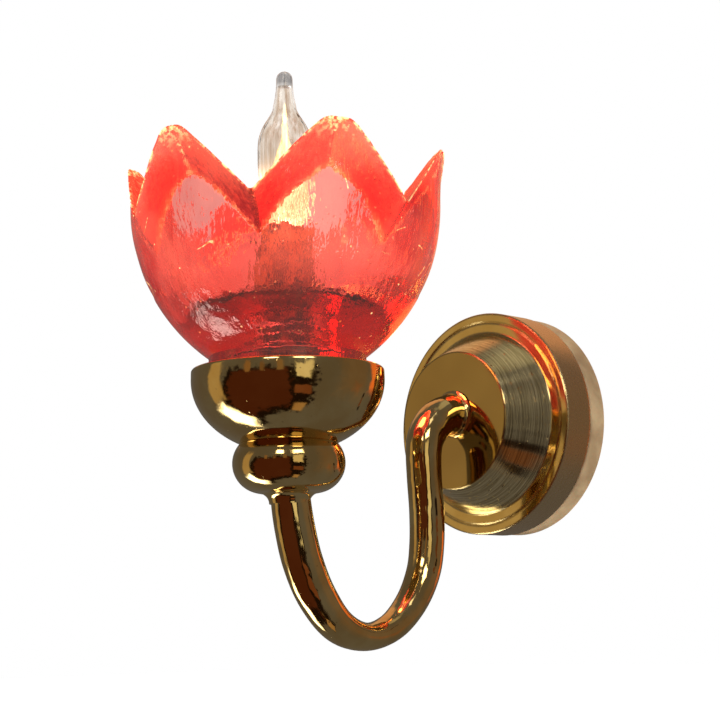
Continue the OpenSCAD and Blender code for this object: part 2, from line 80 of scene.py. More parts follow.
GROOVE_Z = 17
GROOVE_PITCH = 4.5
GROOVE_R = 1.1
SLEEVE_TOP = 81.0
BULB_TIP = 155.8
BULB_FOOT = 74.4
BULB_R = 12.8
BULB_WIDE_Z = 113.0


# ---------------------------------------------------------------- shader nodes
def put(tree, kind, inputs=None, **settings):
    """Adds a shader node; an input is a value or another node's output."""
    node = tree.nodes.new("ShaderNode" + kind)
    for key, value in settings.items():
        setattr(node, key, value)
    for key, value in (inputs or {}).items():
        if isinstance(value, bpy.types.NodeSocket):
            tree.links.new(value, node.inputs[key])
        else:
            node.inputs[key].default_value = value
    return node


def calc(tree, operation, a, b=0.0, clamp=False):
    return put(tree, "Math", {0: a, 1: b}, operation=operation, use_clamp=clamp).outputs[0]


def plus(tree, a, b):
    return calc(tree, "ADD", a, b)


def minus(tree, a, b):
    return calc(tree, "SUBTRACT", a, b)


def times(tree, a, b):
    return calc(tree, "MULTIPLY", a, b)


def place(tree, stretch=(1, 1, 1)):
    """Object coordinates, in metres, stretched."""
    coords = put(tree, "TexCoord").outputs["Object"]
    return put(tree, "Mapping", {"Vector": coords, "Scale": stretch}).outputs[0]


def height_of(tree, where):
    return put(tree, "SeparateXYZ", {"Vector": where}).outputs["Z"]


def grain(tree, vector, scale, detail=3.0, rough=0.55, warp=0.0):
    """Smooth noise from 0 to 1."""
    inputs = {"Vector": vector, "Scale": scale, "Detail": detail, "Roughness": rough,
              "Distortion": warp}
    return put(tree, "TexNoise", inputs).outputs["Fac"]


def spread(tree, value, low, high, to_low=0.0, to_high=1.0, smooth=True):
    """Maps low to to_low and high to to_high, and holds at both ends."""
    inputs = {"Value": value, "From Min": low, "From Max": high, "To Min": to_low,
              "To Max": to_high}
    kind = "SMOOTHSTEP" if smooth else "LINEAR"
    return put(tree, "MapRange", inputs, interpolation_type=kind, clamp=True).outputs["Result"]


def tint(tree, factor, dark, light):
    """A colour between two others."""
    mix = put(tree, "Mix", {"Factor": factor}, data_type="RGBA")
    mix.inputs[6].default_value = (*dark, 1)
    mix.inputs[7].default_value = (*light, 1)
    return mix.outputs[2]


def blend_colors(tree, factor, first, second):
    mix = put(tree, "Mix", {"Factor": factor}, data_type="RGBA")
    tree.links.new(first, mix.inputs[6])
    tree.links.new(second, mix.inputs[7])
    return mix.outputs[2]


def relief(tree, height, distance, below=None):
    """A bump of that many metres, over another one."""
    inputs = {"Height": height, "Distance": distance, "Strength": 1.0}
    if below is not None:
        inputs["Normal"] = below
    return put(tree, "Bump", inputs).outputs["Normal"]


def finish(name, color, **sockets):
    """A new material, its tree and its Principled shader."""
    material = bpy.data.materials.new(name)
    material.use_nodes = True
    shader = material.node_tree.nodes["Principled BSDF"]
    shader.inputs["Base Color"].default_value = (*color, 1)
    for key, value in sockets.items():
        shader.inputs[key.replace("_", " ")].default_value = value
    return material, material.node_tree, shader


def wire(tree, shader, **links):
    for key, output in links.items():
        tree.links.new(output, shader.inputs[key.replace("_", " ")])


# ---------------------------------------------------------------- materials
BRASS = (0.84, 0.66, 0.32)
BRASS_DEEP = (0.72, 0.50, 0.20)

# What the shade's mesh tells its glass, point by point.
MARKS = ("edge", "cut", "shine", "notch_dark")


def polished_brass(name, wave=1.0):
    """Lacquered mirror brass: slow waves from hand polishing, faint wipes and small pits."""
    material, tree, shader = finish(name, BRASS, Metallic=1.0)
    where = place(tree)
    slow = grain(tree, where, 70, 2.0)
    fine = grain(tree, where, 900, 4.0, 0.7)
    wipes = grain(tree, place(tree, (1, 1, 0.12)), 1400, 3.0, 0.8)
    pits = spread(tree, grain(tree, where, 620, 1.0), 0.73, 0.80)
    normal = relief(tree, slow, 0.00045 * wave)
    normal = relief(tree, fine, 0.0000025, normal)
    normal = relief(tree, pits, -0.00003, normal)
    color = tint(tree, spread(tree, grain(tree, where, 45, 4.0), 0.35, 0.7), BRASS_DEEP, BRASS)
    dirt = times(tree, pits, 0.35)
    brown = tint(tree, fine, (0.12, 0.06, 0.02), (0.3, 0.18, 0.07))
    color = blend_colors(tree, dirt, color, brown)
    rough = spread(tree, wipes, 0.3, 0.8, 0.045, 0.13)
    wire(tree, shader, Base_Color=color, Roughness=rough, Normal=normal)
    return material


def turned_rose_brass():
    """Polished face, lathe-cut cone with chatter marks, satin side."""
    material, tree, shader = finish("rose_brass", BRASS, Metallic=1.0)
    where = place(tree)
    split = put(tree, "SeparateXYZ", {"Vector": where}).outputs
    depth = times(tree, split["Y"], -1.0)
    squares = [times(tree, split[k], split[k]) for k in ("X", "Z")]
    radius = calc(tree, "SQRT", plus(tree, *squares))
    angle = calc(tree, "ARCTAN2", split["Z"], split["X"])
    face = spread(tree, depth, (BOSS_Y - 0.5) * MM, (BOSS_Y - 0.2) * MM)
    raised = spread(tree, depth, (FLANGE_Y + 0.15) * MM, (FLANGE_Y + 0.4) * MM)
    cone = times(tree, raised, minus(tree, 1.0, face))
    side = spread(tree, radius, (ROSE_R - 0.5) * MM, (ROSE_R - 0.2) * MM)

    around = put(tree, "CombineXYZ",
                 {"X": depth, "Y": radius, "Z": times(tree, angle, 0.0006)})
    rings = grain(tree, around.outputs[0], 2100, 4.0, 0.75)
    coarse = grain(tree, around.outputs[0], 480, 2.0, 0.6)
    nicks = put(tree, "CombineXYZ",
                {"X": depth, "Y": times(tree, angle, 0.016), "Z": radius})
    nicks = spread(tree, grain(tree, nicks.outputs[0], 1100, 1.0), 0.70, 0.76)
    nicks = times(tree, nicks, cone)
    slow = grain(tree, where, 38, 1.0)
    fine = grain(tree, where, 1500, 3.0, 0.7)

    cut = plus(tree, times(tree, rings, 0.6), times(tree, coarse, 0.4))
    height = times(tree, cut, plus(tree, cone, 0.004))
    edges = put(tree, "Bevel", {"Radius": 0.0014}, samples=6).outputs["Normal"]
    normal = relief(tree, slow, 0.00016, edges)
    normal = relief(tree, height, 0.00004, normal)
    normal = relief(tree, times(tree, fine, side), 0.00003, normal)
    normal = relief(tree, nicks, -0.00012, normal)
    color = spread(tree, grain(tree, where, 60, 4.0), 0.35, 0.7)
    color = tint(tree, color, (0.74, 0.55, 0.24), BRASS)
    pale = tint(tree, spread(tree, rings, 0.36, 0.64), (0.46, 0.38, 0.20), (0.98, 0.87, 0.56))
    color = blend_colors(tree, times(tree, cone, 0.8), color, pale)
    deep = tint(tree, slow, (0.40, 0.28, 0.12), (0.56, 0.42, 0.19))
    color = blend_colors(tree, face, color, deep)
    warm = tint(tree, fine, (0.55, 0.39, 0.23), (0.92, 0.74, 0.48))
    lip = spread(tree, depth, 3.6 * MM, 3.0 * MM)
    satin = times(tree, side, minus(tree, 1.0, lip))
    color = blend_colors(tree, times(tree, satin, 0.8), color, warm)
    dark = tint(tree, fine, (0.05, 0.03, 0.01), (0.2, 0.12, 0.05))
    color = blend_colors(tree, nicks, color, dark)
    rough = plus(tree, 0.05, times(tree, cone, 0.08))
    rough = plus(tree, rough, times(tree, satin, 0.20))
    rough = plus(tree, rough, times(tree, grain(tree, where, 300), 0.05))
    wire(tree, shader, Base_Color=color, Roughness=rough, Normal=normal)
    return material


def ruby_glass():
    """Thick clear red glass. The mesh marks the cut faces, the crumbly edges that hold chips, the
    inner edges, and the notches. Its emission is painted light of the bulb: a faint painted glow
    through the body, a painted glow on the cut faces and inner edges, painted sparkles on the
    crumbly edges and seeds, and painted glints; the glass is painted darker at the notches."""
    material, tree, shader = finish("ruby_glass", (1, 1, 1), Transmission_Weight=1.0, IOR=1.46)
    where = place(tree)
    edge, cut, shine, notch_dark = (
        put(tree, "Attribute", attribute_name=mark).outputs["Fac"] for mark in MARKS)
    slow = grain(tree, where, 62, 2.5)
    tool = grain(tree, place(tree, (1, 1, 0.35)), 420, 3.0, 0.6)
    crumbs = grain(tree, where, 420, 3.0, 0.6)
    wide = grain(tree, where, 30, 2.5)
    seeds = put(tree, "TexVoronoi", {"Vector": where, "Scale": 200.0}).outputs["Distance"]
    seeds = spread(tree, seeds, 0.13, 0.06)
    drawn = grain(tree, place(tree, (1, 1, 0.25)), 210, 3.0, 0.65)
    normal = relief(tree, slow, 0.0013)
    normal = relief(tree, drawn, 0.00050, normal)
    normal = relief(tree, times(tree, tool, cut), 0.00030, normal)
    normal = relief(tree, times(tree, crumbs, edge), 0.0009, normal)
    normal = relief(tree, seeds, 0.00012, normal)

    # Painted sparkles: the bulb's light is painted as a glow on the crumbly edges and on some
    # seeds.
    clusters = minus(tree, grain(tree, where, 120, 1.0), 0.5)
    grainy = plus(tree, crumbs, times(tree, clusters, 0.9))
    lit = times(tree, edge, spread(tree, grainy, 0.44, 0.52))
    soft = times(tree, shine, spread(tree, wide, 0.42, 0.60, 0.2, 1.0))
    speck = times(tree, seeds, spread(tree, grain(tree, where, 130), 0.52, 0.60))
    glow = tint(tree, spread(tree, crumbs, 0.42, 0.62), (1.0, 0.30, 0.05), (2.2, 1.7, 0.7))
    height = height_of(tree, where)
    hollow = spread(tree, height, (FLOOR_Z - 6) * MM, (FLOOR_Z + 12) * MM)
    # Painted glow in the emission: faint in the solid base, stronger in the bowl around the bulb.
    solid = tint(tree, wide, (0.0, 0.012, 0.010), (0.05, 0.034, 0.030))
    inner_glow = tint(tree, spread(tree, wide, 0.35, 0.65), (0.0, 0.016, 0.018), (0.21, 0.070, 0.050))
    # Painted glow of the cut faces, in the emission.
    cut_glow = spread(tree, times(tree, plus(tree, tool, wide), 0.5), 0.38, 0.62)
    cut_glow = tint(tree, cut_glow, (0.24, 0.012, 0.008), (0.64, 0.072, 0.030))
    color = blend_colors(tree, hollow, solid, inner_glow)
    color = blend_colors(tree, times(tree, cut, 0.95), color, cut_glow)
    # Painted glow of the bulb's light along the inner edges.
    color = blend_colors(tree, soft, color,
                         tint(tree, wide, (0.9, 0.22, 0.05), (1.6, 0.95, 0.28)))
    painted_sparkles = calc(tree, "ADD", lit, times(tree, speck, 0.5), clamp=True)
    color = blend_colors(tree, painted_sparkles, color, glow)
    # Painted glints: thin curved lines of the bulb's light reflected in the walls, away from the
    # cut faces.
    bent = calc(tree, "ABSOLUTE", minus(tree, grain(tree, where, 36, 1.0, 0.5, 0.6), 0.5))
    here = spread(tree, grain(tree, where, 75, 1.0), 0.61, 0.66)
    glint = times(tree, spread(tree, bent, 0.010, 0.003), here)
    glint = times(tree, times(tree, glint, hollow), minus(tree, 1.0, cut))
    color = blend_colors(tree, times(tree, glint, 0.6), color, glow)
    # Painted darker at the notches: less of the painted glow there.
    color = blend_colors(tree, times(tree, notch_dark, 0.85), color,
                         tint(tree, crumbs, (0.03, 0.002, 0.001), (0.35, 0.03, 0.01)))
    # All of this glass's emission is painted light of the bulb; the glass gives no light of its
    # own.
    shader.inputs["Emission Strength"].default_value = 1.0
    # The colour the glass passes: deeper red on the cut faces and darker at the notches.
    through_tint = tint(tree, cut, (1, 1, 1), (0.85, 0.02, 0.008))
    dark = tint(tree, crumbs, (0.05, 0.0, 0.0), (0.4, 0.02, 0.01))
    through_tint = blend_colors(tree, notch_dark, through_tint, dark)
    rough = plus(tree, 0.03, times(tree, cut, 0.30))
    rough = plus(tree, rough, times(tree, edge, 0.12))
    wire(tree, shader, Base_Color=through_tint, Normal=normal, Emission_Color=color, Roughness=rough)
    volume = put(tree, "VolumeAbsorption", {"Color": (0.865, 0.12, 0.02, 1), "Density": 95.0})
    tree.links.new(volume.outputs[0], tree.nodes["Material Output"].inputs["Volume"])
    return material


def bulb_glass():
    """Clear drawn glass with vertical draw streaks, lit from inside near its foot."""
    material, tree, shader = finish(
        "bulb_clear", (0.97, 0.94, 0.91), Transmission_Weight=1.0, IOR=1.25, Roughness=0.02)
    streak = grain(tree, place(tree, (1, 1, 0.05)), 520, 3.0, 0.6)
    slow = grain(tree, place(tree, (1, 1, 0.3)), 150, 2.0)
    height = height_of(tree, place(tree))
    normal = relief(tree, slow, 0.0005)
    normal = relief(tree, streak, 0.00010, normal)
    mark = spread(tree, streak, 0.40, 0.60)
    nub = spread(tree, height, (BULB_TIP - 7.5) * MM, (BULB_TIP - 5.5) * MM)
    color = tint(tree, mark, (0.72, 0.60, 0.50), (0.99, 0.95, 0.90))
    gray = tint(tree, mark, (0.18, 0.17, 0.17), (0.45, 0.42, 0.40))
    color = blend_colors(tree, nub, color, gray)
    low = spread(tree, plus(tree, height, times(tree, streak, 0.016)), 0.126, 0.104)
    fire = times(tree, calc(tree, "POWER", low, 2.0),
                 spread(tree, streak, 0.36, 0.62, 0.35, 1.0))
    glow = tint(tree, fire, (0.9, 0.52, 0.25), (1.0, 0.86, 0.45))
    wire(tree, shader, Base_Color=color, Normal=normal, Emission_Color=glow,
         Emission_Strength=times(tree, fire, 1.5))
    return material


def amber_sleeve():
    """Fibrous amber tube, streaked lengthwise, with painted shade in bands towards its foot and a
    painted glow of the bulb's light towards its top.
    """
    material, tree, shader = finish(
        "amber_sleeve", (0.4, 0.15, 0.05), Coat_Weight=0.6, Coat_Roughness=0.08, Roughness=0.35)
    long_way = place(tree, (1, 1, 0.10))
    fibres = grain(tree, long_way, 900, 5.0, 0.7)
    blotches = grain(tree, place(tree, (1, 1, 0.35)), 170, 4.0, 0.65, 0.6)
    bands = grain(tree, place(tree, (0.25, 0.25, 1)), 420, 3.0, 0.6)
    height = height_of(tree, place(tree))
    foot = spread(tree, height, 0.056, 0.046)
    light = plus(tree, times(tree, fibres, 0.5), times(tree, blotches, 0.5))
    light = spread(tree, light, 0.43, 0.57)
    # Painted shade: darker bands towards the foot.
    shade = times(tree, foot, spread(tree, bands, 0.42, 0.58))
    light = times(tree, light, minus(tree, 1.0, times(tree, shade, 0.7)))
    color = tint(tree, light, (0.025, 0.007, 0.003), (0.62, 0.22, 0.06))
    # Painted glow of the bulb's light, rising towards the top.
    warmth = tint(tree, light, (0.01, 0.002, 0.001), (0.85, 0.30, 0.06))
    top = spread(tree, height, 0.062, SLEEVE_TOP * MM, 0.05, 0.60)
    normal = relief(tree, fibres, 0.00016)
    normal = relief(tree, blotches, 0.0003, normal)
    wire(tree, shader, Base_Color=color, Normal=normal, Emission_Color=warmth,
         Emission_Strength=top)
    return material


def frosted_plate():
    """White moulded disc, softly glossy and a little smudged; its colour is painted dark brown in
    clouds, for the shade and warm reflections on it.
    """
    material, tree, shader = finish(
        "frosted_plate", (0.86, 0.84, 0.78), Coat_Weight=0.15, Coat_Roughness=0.25,
        Subsurface_Weight=0.15, Subsurface_Scale=0.004)
    where = place(tree)
    clouds = grain(tree, where, 48, 5.0, 0.6, 0.4)
    speck = grain(tree, where, 1100, 3.0, 0.7)
    # Painted shade and reflection: the white disc is coloured brown, in uneven clouds.
    color = tint(tree, spread(tree, clouds, 0.22, 0.80), (0.25, 0.155, 0.075), (0.52, 0.36, 0.185))
    normal = relief(tree, clouds, 0.0005)
    normal = relief(tree, speck, 0.00006, normal)
    rough = spread(tree, clouds, 0.3, 0.7, 0.30, 0.52)
    wire(tree, shader, Base_Color=color, Roughness=rough, Normal=normal)
    return material


def plated(name, color, rough=0.25):
    """Small metal parts: rolled or machined, with fine scratches."""
    material, tree, shader = finish(name, color, Metallic=1.0)
    where = place(tree)
    scratch = grain(tree, place(tree, (0.1, 1, 1)), 1800, 4.0, 0.75)
    clouds = grain(tree, where, 260, 4.0, 0.6)
    dark = tuple(c * 0.62 for c in color)
    normal = relief(tree, scratch, 0.00002)
    wire(tree, shader, Base_Color=tint(tree, spread(tree, clouds, 0.35, 0.65), dark, color),
         Roughness=spread(tree, scratch, 0.3, 0.7, rough * 0.7, rough * 1.5), Normal=normal)
    return material


def moulded(name, color, rough=0.45, coat=0.1):
    """Moulded or extruded plastic with a faint orange-peel skin."""
    material, tree, shader = finish(name, color, Coat_Weight=coat, Coat_Roughness=0.2)
    where = place(tree)
    peel = grain(tree, where, 1500, 3.0, 0.6)
    clouds = grain(tree, where, 120, 4.0, 0.6)
    dark = tuple(c * 0.78 for c in color)
    wire(tree, shader, Base_Color=tint(tree, spread(tree, clouds, 0.3, 0.7), dark, color),
         Roughness=spread(tree, peel, 0.3, 0.7, rough * 0.8, rough * 1.3),
         Normal=relief(tree, peel, 0.00004))
    return material


def felt():
    material, tree, shader = finish(
        "brown_felt", (0.16, 0.07, 0.045), Roughness=0.95, Sheen_Weight=0.5)
    where = place(tree)
    hair = grain(tree, where, 2600, 5.0, 0.8, 1.5)
    wire(tree, shader, Base_Color=tint(tree, hair, (0.07, 0.03, 0.02), (0.30, 0.15, 0.10)),
         Normal=relief(tree, hair, 0.0003))
    return material


def glowing(name, color, strength, low, high):
    """A hot part that shines most between two heights."""
    material, tree, shader = finish(name, (0.9, 0.9, 0.88), Roughness=0.2)
    where = place(tree)
    height = height_of(tree, where)
    flicker = grain(tree, where, 420, 3.0, 0.6)
    power = spread(tree, height, high * MM, low * MM, strength * 0.25, strength)
    power = times(tree, power, spread(tree, flicker, 0.3, 0.7, 0.5, 1.2))
    tone = tint(tree, flicker, color, (1.0, 0.93, 0.72))
    wire(tree, shader, Emission_Color=tone, Emission_Strength=power)
    return material


def halo():
    """The glare round a lit filament: soft, ragged tongues of light."""
    material, tree, shader = finish("filament_glare", (0, 0, 0), Roughness=1.0)
    ragged = grain(tree, place(tree, (1, 1, 0.16)), 330, 3.0, 0.6)
    height = height_of(tree, place(tree))
    facing = put(tree, "LayerWeight", {"Blend": 0.5}).outputs["Facing"]
    core = minus(tree, 1.0, facing)
    body = plus(tree, core, times(tree, minus(tree, ragged, 0.5), 1.3))
    alpha = times(tree, spread(tree, body, 0.25, 0.8),
                  spread(tree, height, 0.141, 0.124, 0.35, 1.0))
    tone = tint(tree, spread(tree, body, 0.3, 0.9), (1.0, 0.55, 0.12), (1.0, 0.90, 0.55))
    wire(tree, shader, Emission_Color=tone, Alpha=alpha)
    shader.inputs["Emission Strength"].default_value = 2.6
    return material


# ---------------------------------------------------------------- meshes
def add_object(name, mesh, material):
    data = bpy.data.meshes.new(name)
    mesh.to_mesh(data)
    mesh.free()
    data.materials.append(material)
    piece = bpy.data.objects.new(name, data)
    bpy.context.scene.collection.objects.link(piece)
    return piece


def as_piece(name, mesh, material, body, node, sharp=35):
    """Makes the object that stands for a CAD node and takes its finish."""
    bmesh.ops.remove_doubles(mesh, verts=mesh.verts, dist=1e-7)
    bmesh.ops.recalc_face_normals(mesh, faces=mesh.faces)
    piece = add_object(name, mesh, material)
    piece.data.shade_smooth()
    piece.data.set_sharp_from_angle(angle=math.radians(sharp))
    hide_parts(node)
    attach(piece, body)
    return piece


def join_rings(mesh, lower, upper):
    """Faces between two rings of vertices, either of which may be one point."""
    if len(lower) == 1 and len(upper) == 1:
        return
    count = max(len(lower), len(upper))
    for k in range(count):
        n = (k + 1) % count
        if len(lower) == 1:
            mesh.faces.new((lower[0], upper[k], upper[n]))
        elif len(upper) == 1:
            mesh.faces.new((lower[k], upper[0], lower[n]))
        else:
            mesh.faces.new((lower[k], upper[k], upper[n], lower[n]))


def around_axis(radius, height, angle):
    """A point beside the lamp's vertical axis, from millimetres."""
    return Vector((radius * math.cos(angle), radius * math.sin(angle) - REACH, height)) * MM


def turned(outline, segments=168):
    """A closed outline of (radius, height) turned about the lamp's vertical axis."""
    mesh = bmesh.new()
    rings = []
    for radius, height in outline:
        count = 1 if radius < 1e-6 else segments
        rings.append([mesh.verts.new(around_axis(radius, height, 2 * math.pi * k / segments))
                      for k in range(count)])
    for lower, upper in zip(rings, rings[1:] + rings[:1]):
        join_rings(mesh, lower, upper)
    return mesh


def rounded(corners, steps=5):
    """An outline whose corners are (radius, height, size of the rounding)."""
    points = []
    for k, (r, z, size) in enumerate(corners):
        here = Vector((r, z))
        if size == 0:
            points.append((r, z))
            continue
        before = (Vector(corners[k - 1][:2]) - here).normalized() * size
        after = (Vector(corners[(k + 1) % len(corners)][:2]) - here).normalized() * size
        for i in range(steps + 1):
            t = i / steps
            points.append(tuple(here + before * (1 - t) ** 2 + after * t ** 2))
    return points


def arc(center_r, center_z, radius, start, end, steps):
    """Points of a circular arc, with its angles in degrees."""
    turns = (math.radians(start + (end - start) * k / steps) for k in range(steps + 1))
    return [(center_r + radius * math.cos(t), center_z + radius * math.sin(t)) for t in turns]


def on_curve(points, u):
    """A point of the smooth curve through some points, u of the way counted in points."""
    last = len(points) - 1
    k = min(int(u), last - 1)
    t = u - k
    a, b, c, d = (Vector(points[min(max(k + i, 0), last)]) for i in (-1, 0, 1, 2))
    return 0.5 * (2 * b + (c - a) * t + (2 * a - 5 * b + 4 * c - d) * t * t
                  + (3 * b - a - 3 * c + d) * t ** 3)


def cup_mesh():
    """Half an ellipse below a short upright lip; the inside holds the felt and the shade."""
    drop = (CUP_MID - JOINT_Z) / math.sqrt(1 - (FOOT_R / CUP_R) ** 2)
    lowest = math.asin((CUP_MID - JOINT_Z) / drop)
    wall = []
    steps = 40
    for k in range(steps + 1):
        t = -lowest * (1 - k / steps)
        wall.append((CUP_R * math.cos(t), CUP_MID + drop * math.sin(t)))
    lip = rounded([wall[-1] + (0,), (CUP_R - 0.1, CUP_RIM, 1.5), (MOUTH_R, CUP_RIM, 0.9),
                   (MOUTH_R, SEAT_Z, 0.8), (WELL_R, SEAT_Z, 0.6), (WELL_R - 4, WELL_Z, 1.0),
                   (BOLT_R, WELL_Z, 0), (BOLT_R, JOINT_Z, 0)])
    return turned(wall[:-1] + lip)


def bead_mesh():
    """Round bead with a hollow foot that runs into the arm."""
    ball_r, ball_z, ball = 12.1, -27.5, 13.4
    foot, fillet = 9.1, 5.0
    fillet_z = ball_z - math.sqrt((ball + fillet) ** 2 - (foot + fillet - ball_r) ** 2)
    meet = math.degrees(math.atan2(ball_z - fillet_z, ball_r - foot - fillet))
    top = math.degrees(math.asin((JOINT_Z - ball_z) / ball))
    outline = arc(foot + fillet, fillet_z, fillet, 180, meet, 12)
    outline += arc(ball_r, ball_z, ball, meet - 180, top, 44)
    return turned(outline + [(BOLT_R, JOINT_Z), (BOLT_R, fillet_z)])


def bulb_radius(z):
    """The flame-tip bulb's outer radius at a height."""
    shoulder, neck_end = 139.0, BULB_TIP - 3.8
    if z < BULB_FOOT + 2.6:
        return 5.6
    if z < BULB_WIDE_Z:
        start = BULB_FOOT + 2.6
        return 5.6 + (BULB_R - 5.6) * math.sin(math.pi / 2 * (z - start) / (BULB_WIDE_Z - start))
    if z < shoulder:
        u = ((z - BULB_WIDE_Z) / (shoulder - BULB_WIDE_Z)) ** 1.9
        return 5.4 + (BULB_R - 5.4) * (1 + math.cos(math.pi * u)) / 2
    if z < neck_end:
        return 3.8 + 1.6 * ((neck_end - z) / (neck_end - shoulder)) ** 2
    return 3.8 * math.sqrt(max(0.0, 1 - ((z - neck_end) / 3.8) ** 2))


def bulb_mesh():
    """Thin blown bulb whose drawn tip is solid."""
    steps, wall = 110, 0.7
    inner_top = BULB_TIP - 6
    start = inner_top - 1.5
    rising = (BULB_FOOT + (BULB_TIP - BULB_FOOT) * (1 - (1 - k / steps) ** 1.5)
              for k in range(steps))
    falling = (start - (start - BULB_FOOT) * k / steps for k in range(steps + 1))
    outer = [(bulb_radius(z), z) for z in rising]
    inner = [(bulb_radius(z) - wall, z) for z in falling]
    return turned(outer + [(0, BULB_TIP), (0, inner_top)] + inner, 96)


def glare_mesh():
    """The shape of the light round the filament: wide at its foot, drawn up into a thin tongue."""
    shape = [(0, 86), (4.5, 90), (6.6, 97), (7.0, 104), (6.2, 111), (4.2, 117), (2.4, 122),
             (1.6, 128), (1.2, 134), (0.7, 139), (0, 141)]
    fine = 4
    outline = []
    for k in range(fine * (len(shape) - 1)):
        radius, height = on_curve(shape, k / fine)
        outline.append((max(radius, 0.0), height))
    return turned(outline + [shape[-1]], 32)


def swept(route, segments=44, rings=170):
    """A bar along (depth, height, radius in the plane, radius across) points, on a smooth curve."""
    mesh = bmesh.new()
    last = len(route) - 1
    loops = []
    for k in range(rings + 1):
        u = last * k / rings
        point = on_curve(route, u)
        ahead = on_curve(route, min(u + 0.01, last)) - on_curve(route, max(u - 0.01, 0))
        along = Vector((0, -ahead[0], ahead[1])).normalized()
        middle = Vector((0, -point[0], point[1]))
        across = Vector((1, 0, 0))
        inward = along.cross(across)
        ring = []
        for i in range(segments):
            t = 2 * math.pi * i / segments
            ring.append(mesh.verts.new(
                (middle + across * point[3] * math.cos(t) + inward * point[2] * math.sin(t)) * MM))
        loops.append(ring)
    for lower, upper in zip(loops, loops[1:]):
        join_rings(mesh, lower, upper)
    mesh.faces.new(loops[0])
    mesh.faces.new(loops[-1])
    return mesh


# The arm's middle line, from its root on the boss to its end inside the bead: depth in front of
# the wall, height, and the bar's radius in the plane of the bend and across it. It is flattened
# where it is bent hardest.
ARM_ROUTE = [
    (49.7, 2.5, 12.2, 12.2), (51, 2.4, 10.6, 10.6), (53.5, 2.2, 9.9, 9.9),
    (58, 0.8, 9.7, 9.6), (64, -3.2, 9.7, 9.3), (69, -9.5, 9.3, 9.0), (71, -17, 8.8, 8.8),
    (71, -30, 8.3, 8.7), (69.9, -46, 8.5, 8.6), (70.5, -62, 8.4, 8.5),
    (73.5, -75.5, 8.1, 8.4), (82, -89.5, 7.3, 8.3), (95.5, -100.8, 6.6, 8.2),
    (112.5, -105.2, 6.5, 8.2), (129.5, -100.2, 7.9, 8.5), (142.5, -87, 9.1, 8.8),
    (150.7, -72, 9.4, 9.0), (155.3, -57, 9.2, 9.1), (157.8, -43, 9.0, 9.0),
    (158.5, -30, 8.8, 8.8)]


def vee(across):
    """Height of a rounded V-cut above its lowest point, at a distance from its middle."""
    slope = math.atan(EDGE_RISE * math.cos(NOTCH_SLOPE))
    across = abs(across)
    if across < NOTCH_ROUND * math.sin(slope):
        return NOTCH_ROUND - math.sqrt(NOTCH_ROUND ** 2 - across ** 2)
    return across * math.tan(slope) + NOTCH_ROUND - NOTCH_ROUND / math.cos(slope)


def soft_lower(a, b, soft):
    """The lower of two values, rounded where they are nearly equal."""
    return min(a, b) - soft * math.log(1 + math.exp(-abs(a - b) / soft))


def cut_height(radius, from_tip, tip_z):
    """Height at which the petals are cut, at an angle from the nearest petal's tip."""
    sides = []
    for sign in (-1, 1):
        off = math.pi / PETALS + sign * from_tip
        z = NOTCH_Z + math.tan(NOTCH_SLOPE) * (radius * math.cos(off) - NOTCH_R)
        sides.append(z + vee(radius * math.sin(off)) / math.cos(NOTCH_SLOPE))
    return soft_lower(soft_lower(*sides, 0.8), tip_z + 0.3, 0.9)


def wall_radius(height, arc_radius, flare):
    """Radius of the bowl's wall: a circular arc, drawn out a little above its widest height."""
    widest = BOWL_C + arc_radius
    if height < BOWL_Z:
        return BOWL_C + math.sqrt(arc_radius ** 2 - (BOWL_Z - height) ** 2)
    return widest + flare * ((height - BOWL_Z) / (TIP_Z - BOWL_Z)) ** 2


def wall_top(arc_radius, flare, from_tip, tip_z):
    """Height at which the cut meets a wall."""
    low, high = FLOOR_Z + 10, TIP_Z + 6
    for _ in range(40):
        mid = (low + high) / 2
        if mid < cut_height(wall_radius(mid, arc_radius, flare), from_tip, tip_z):
            low = mid
        else:
            high = mid
    return low


